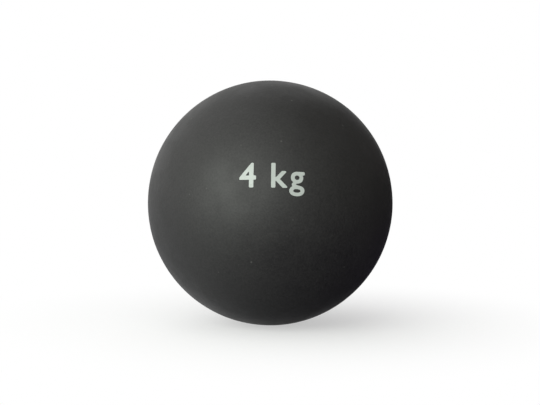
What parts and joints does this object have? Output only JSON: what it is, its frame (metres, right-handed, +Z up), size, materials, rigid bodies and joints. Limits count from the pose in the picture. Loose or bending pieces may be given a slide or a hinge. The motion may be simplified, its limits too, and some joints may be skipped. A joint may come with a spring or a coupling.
{
  "type": "indoor shot put",
  "caption": "Soft black indoor shot put: a moulded plastic ball packed with steel shot, its filling hole closed by a flush cemented plug.",
  "frame": {"origin": "centre of the ball", "axes": "+Z up, -Y towards the side that is shown, +Y out of the filling hole"},
  "size_m": [0.128, 0.128, 0.128],
  "materials": {
    "casing_pvc": "satin",
    "plug_pvc": "satin",
    "cement": "gloss",
    "shot_steel": "satin",
    "mark_ink": "matte"
  },
  "bodies": {
    "root": {"casing": "casing_pvc", "filler_plug": "plug_pvc", "cement_ring": "cement", "steel_shot_01": "shot_steel", "steel_shot_02": "shot_steel", "steel_shot_03": "shot_steel", "steel_shot_04": "shot_steel", "steel_shot_05": "shot_steel", "steel_shot_06": "shot_steel", "steel_shot_07": "shot_steel", "steel_shot_08": "shot_steel", "steel_shot_09": "shot_steel", "steel_shot_10": "shot_steel", "steel_shot_11": "shot_steel", "steel_shot_12": "shot_steel", "steel_shot_13": "shot_steel", "steel_shot_14": "shot_steel", "steel_shot_15": "shot_steel", "steel_shot_16": "shot_steel", "steel_shot_17": "shot_steel", "steel_shot_18": "shot_steel", "steel_shot_19": "shot_steel", "steel_shot_20": "shot_steel", "steel_shot_21": "shot_steel", "steel_shot_22": "shot_steel", "steel_shot_23": "shot_steel", "steel_shot_24": "shot_steel", "steel_shot_25": "shot_steel", "steel_shot_26": "shot_steel", "steel_shot_27": "shot_steel", "steel_shot_28": "shot_steel", "steel_shot_29": "shot_steel", "steel_shot_30": "shot_steel", "steel_shot_31": "shot_steel", "steel_shot_32": "shot_steel", "steel_shot_33": "shot_steel", "steel_shot_34": "shot_steel", "steel_shot_35": "shot_steel", "steel_shot_36": "shot_steel", "steel_shot_37": "shot_steel", "steel_shot_38": "shot_steel"}
  },
  "joints": []
}
